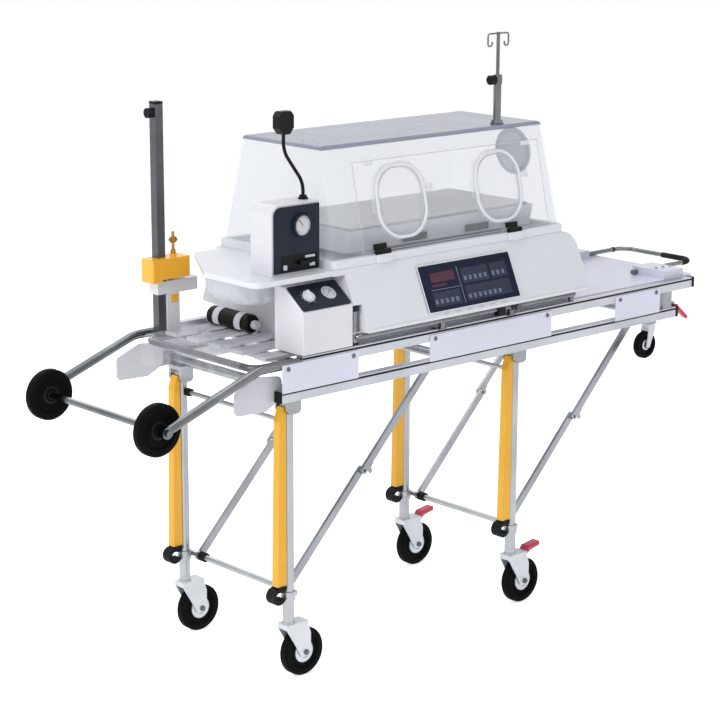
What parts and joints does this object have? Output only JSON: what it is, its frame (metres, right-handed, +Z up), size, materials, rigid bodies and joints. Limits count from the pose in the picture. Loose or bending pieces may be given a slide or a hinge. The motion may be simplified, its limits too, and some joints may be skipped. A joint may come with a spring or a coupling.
{
  "type": "transport incubator",
  "caption": "Newborn transport incubator: clear hood with hinged door and hand ports on a white console base, carried on a self-loading ambulance trolley with folding legs and casters.",
  "frame": {"origin": "on the floor, in the middle of the trolley's length and width", "axes": "+X from the loading wheels to the pull-out handle, +Z up, -Y the side with the screen and the access door"},
  "size_m": [2.196, 0.6007, 1.624],
  "materials": {
    "anodised_rail": "satin anodised",
    "white_paint": "smooth white powder coat",
    "chrome_tube": "polished plated tube",
    "grey_steel": "brushed",
    "yellow_cover": "smooth moulded cover",
    "black_rubber": "matte",
    "black_tread": "fine matte tread",
    "black_plastic": "fine grain",
    "red_plastic": "smooth moulded",
    "white_moulding": "smooth moulded shell",
    "clear_acrylic": "clear acrylic sheet",
    "tinted_roof": "pale violet translucent sheet",
    "screen_glass": "dark display glass",
    "yellow_metal": "gloss paint",
    "brass_fitting": "satin",
    "mattress_foam": "soft wipe-clean cover",
    "film_bag": "thin wrinkled film",
    "grey_arm": "satin grey"
  },
  "bodies": {
    "trolley": {"side_rails": "anodised_rail", "side_plates": "white_paint", "cross_frame": "grey_steel", "deck_panel": "white_paint", "front_platform": "white_paint", "loading_arms": "chrome_tube", "grab_rail": "chrome_tube", "base_housing": "white_moulding", "control_screen": "screen_glass", "mattress_tray": "white_moulding", "mattress": "mattress_foam", "gas_cabinet": "white_paint", "dark_fittings": "black_plastic", "control_box": "white_paint", "mast": "grey_steel", "mast_clamp": "white_paint", "regulator_block": "yellow_metal", "supply_bag": "film_bag", "strapped_bottle": "black_plastic"},
    "front_leg_frame": {"front_legs": "anodised_rail", "front_leg_covers": "yellow_cover", "front_leg_rubbers": "black_rubber"},
    "front_lower_brace": {"front_lower_braces": "grey_steel"},
    "front_upper_brace": {"front_upper_braces": "grey_steel"},
    "rear_leg_frame": {"rear_legs": "anodised_rail", "rear_leg_covers": "yellow_cover", "rear_leg_rubbers": "black_rubber"},
    "rear_lower_brace": {"rear_lower_braces": "grey_steel"},
    "rear_upper_brace": {"rear_upper_braces": "grey_steel"},
    "front_left_caster": {"front_left_fork": "grey_arm"},
    "front_left_roller": {"front_left_wheel": "black_tread"},
    "front_right_caster": {"front_right_fork": "grey_arm"},
    "front_right_roller": {"front_right_wheel": "black_tread"},
    "rear_left_caster": {"rear_left_fork": "grey_arm"},
    "rear_left_roller": {"rear_left_wheel": "black_tread"},
    "rear_right_caster": {"rear_right_fork": "grey_arm"},
    "rear_right_roller": {"rear_right_wheel": "black_tread"},
    "left_brake": {"left_brake_pedal": "red_plastic"},
    "right_brake": {"right_brake_pedal": "red_plastic"},
    "small_caster": {"small_fork": "grey_arm"},
    "small_roller": {"small_wheel": "black_tread"},
    "left_loader": {"left_loading_wheel": "black_tread"},
    "right_loader": {"right_loading_wheel": "black_tread"},
    "pull_handle": {"rear_handle": "chrome_tube"},
    "lever": {"release_lever": "red_plastic"},
    "hood_shell": {"hood_frame": "white_moulding", "hood": "clear_acrylic", "hood_roof": "tinted_roof", "infusion_pole": "chrome_tube"},
    "door": {"access_door": "clear_acrylic"},
    "left_port": {"left_port_cover": "clear_acrylic"},
    "right_port": {"right_port_cover": "clear_acrylic"},
    "iris": {"iris_port": "white_moulding"},
    "hanger": {"hook_rod": "chrome_tube"},
    "pole_clamp_knob": {"pole_knob": "black_plastic"},
    "mast_clamp_knob": {"mast_knob": "black_plastic"},
    "valve": {"valve_key": "brass_fitting"},
    "gas_control": {"gas_lever": "black_plastic"},
    "dial": {"control_dial": "white_moulding"},
    "lamp": {"flexible_lamp": "black_plastic"}
  },
  "joints": [
    {"name": "front_leg_fold", "type": "hinge", "parent": "trolley", "child": "front_leg_frame", "pos_m": [-0.614, 0, 0.735], "axis": [0, -1, 0], "range_deg": [0, 80]},
    {"name": "front_lower_brace_swing", "type": "hinge", "parent": "front_leg_frame", "child": "front_lower_brace", "pos_m": [-0.59, 0, 0.228], "axis": [0, -1, 0], "range_deg": [-141.6, 0]},
    {"name": "front_upper_brace_swing", "type": "hinge", "parent": "trolley", "child": "front_upper_brace", "pos_m": [-0.064, 0, 0.775], "axis": [0, -1, 0], "range_deg": [0, 101.3]},
    {"name": "rear_leg_fold", "type": "hinge", "parent": "trolley", "child": "rear_leg_frame", "pos_m": [0.216, 0, 0.735], "axis": [0, -1, 0], "range_deg": [0, 80]},
    {"name": "rear_lower_brace_swing", "type": "hinge", "parent": "rear_leg_frame", "child": "rear_lower_brace", "pos_m": [0.24, 0, 0.228], "axis": [0, -1, 0], "range_deg": [-141.6, 0]},
    {"name": "rear_upper_brace_swing", "type": "hinge", "parent": "trolley", "child": "rear_upper_brace", "pos_m": [0.766, 0, 0.775], "axis": [0, -1, 0], "range_deg": [0, 101.3]},
    {"name": "front_left_swivel", "type": "hinge", "parent": "front_leg_frame", "child": "front_left_caster", "pos_m": [-0.614, -0.219, 0.156], "axis": [0, 0, 1], "continuous": true},
    {"name": "front_left_roll", "type": "hinge", "parent": "front_left_caster", "child": "front_left_roller", "pos_m": [-0.57, -0.219, 0.065], "axis": [0, 1, 0], "continuous": true},
    {"name": "front_right_swivel", "type": "hinge", "parent": "front_leg_frame", "child": "front_right_caster", "pos_m": [-0.614, 0.219, 0.156], "axis": [0, 0, 1], "continuous": true},
    {"name": "front_right_roll", "type": "hinge", "parent": "front_right_caster", "child": "front_right_roller", "pos_m": [-0.57, 0.219, 0.065], "axis": [0, 1, 0], "continuous": true},
    {"name": "rear_left_swivel", "type": "hinge", "parent": "rear_leg_frame", "child": "rear_left_caster", "pos_m": [0.216, -0.219, 0.156], "axis": [0, 0, 1], "continuous": true},
    {"name": "rear_left_roll", "type": "hinge", "parent": "rear_left_caster", "child": "rear_left_roller", "pos_m": [0.26, -0.219, 0.065], "axis": [0, 1, 0], "continuous": true},
    {"name": "rear_right_swivel", "type": "hinge", "parent": "rear_leg_frame", "child": "rear_right_caster", "pos_m": [0.216, 0.219, 0.156], "axis": [0, 0, 1], "continuous": true},
    {"name": "rear_right_roll", "type": "hinge", "parent": "rear_right_caster", "child": "rear_right_roller", "pos_m": [0.26, 0.219, 0.065], "axis": [0, 1, 0], "continuous": true},
    {"name": "left_brake_press", "type": "hinge", "parent": "rear_left_caster", "child": "left_brake", "pos_m": [0.2733, -0.219, 0.145], "axis": [0, 1, 0], "range_deg": [0, 12]},
    {"name": "right_brake_press", "type": "hinge", "parent": "rear_right_caster", "child": "right_brake", "pos_m": [0.2733, 0.219, 0.145], "axis": [0, 1, 0], "range_deg": [0, 12]},
    {"name": "small_swivel", "type": "hinge", "parent": "trolley", "child": "small_caster", "pos_m": [0.746, -0.2595, 0.754], "axis": [0, 0, 1], "continuous": true},
    {"name": "small_roll", "type": "hinge", "parent": "small_caster", "child": "small_roller", "pos_m": [0.731, -0.2595, 0.692], "axis": [0, 1, 0], "continuous": true},
    {"name": "left_loader_roll", "type": "hinge", "parent": "trolley", "child": "left_loader", "pos_m": [-1.032, -0.228, 0.75], "axis": [0, 1, 0], "continuous": true},
    {"name": "right_loader_roll", "type": "hinge", "parent": "trolley", "child": "right_loader", "pos_m": [-1.032, 0.228, 0.75], "axis": [0, 1, 0], "continuous": true},
    {"name": "handle_slide", "type": "slide", "parent": "trolley", "child": "pull_handle", "axis": [-1, 0, 0], "range_m": [0, 0.12]},
    {"name": "lever_lift", "type": "hinge", "parent": "trolley", "child": "lever", "pos_m": [0.866, -0.2595, 0.789], "axis": [0, -1, 0], "range_deg": [0, 25]},
    {"name": "hood_open", "type": "hinge", "parent": "trolley", "child": "hood_shell", "pos_m": [0, 0.236, 1.0723], "axis": [-1, 0, 0], "range_deg": [0, 60]},
    {"name": "door_fold", "type": "hinge", "parent": "hood_shell", "child": "door", "pos_m": [-0.003, -0.23302, 1.09472], "axis": [1, 0, 0], "range_deg": [0, 145]},
    {"name": "left_port_swing", "type": "hinge", "parent": "door", "child": "left_port", "pos_m": [-0.3005, -0.19835, 1.21506], "axis": [0, -0.2172, -0.9761], "range_deg": [0, 110]},
    {"name": "right_port_swing", "type": "hinge", "parent": "door", "child": "right_port", "pos_m": [0.0645, -0.19835, 1.21506], "axis": [0, -0.2172, -0.9761], "range_deg": [0, 110]},
    {"name": "iris_turn", "type": "hinge", "parent": "hood_shell", "child": "iris", "pos_m": [0.37572, -0.046, 1.276], "axis": [0.9986, 0, 0.0537], "range_deg": [0, 170]},
    {"name": "hanger_slide", "type": "slide", "parent": "hood_shell", "child": "hanger", "axis": [0, 0, 1], "range_m": [0, 0.09]},
    {"name": "pole_knob_turn", "type": "hinge", "parent": "hood_shell", "child": "pole_clamp_knob", "pos_m": [0.2127, -0.127, 1.494], "axis": [-1, 0, 0], "range_deg": [0, 180]},
    {"name": "mast_knob_turn", "type": "hinge", "parent": "trolley", "child": "mast_clamp_knob", "pos_m": [-0.6938, 0.221, 1.444], "axis": [-1, 0, 0], "range_deg": [0, 180]},
    {"name": "valve_turn", "type": "hinge", "parent": "trolley", "child": "valve", "pos_m": [-0.6438, 0.2072, 1.0713], "axis": [0, 0, 1], "range_deg": [0, 180]},
    {"name": "gas_lever_turn", "type": "hinge", "parent": "trolley", "child": "gas_control", "pos_m": [-0.554, -0.198, 1.0943], "axis": [0, -1, 0], "range_deg": [0, 80]},
    {"name": "dial_turn", "type": "hinge", "parent": "trolley", "child": "dial", "pos_m": [-0.56, -0.236, 1.009], "axis": [0, -0.6, 0.8], "range_deg": [-135, 135]},
    {"name": "lamp_turn", "type": "hinge", "parent": "trolley", "child": "lamp", "pos_m": [-0.502, -0.152, 1.2446], "axis": [0, 0, 1], "range_deg": [-60, 60]}
  ],
  "couplings": [
    {"joint": "front_lower_brace_swing", "follows": "front_leg_fold", "ratio": -1.7685},
    {"joint": "front_upper_brace_swing", "follows": "front_leg_fold", "ratio": 1.2649},
    {"joint": "rear_lower_brace_swing", "follows": "rear_leg_fold", "ratio": -1.7685},
    {"joint": "rear_upper_brace_swing", "follows": "rear_leg_fold", "ratio": 1.2649}
  ]
}
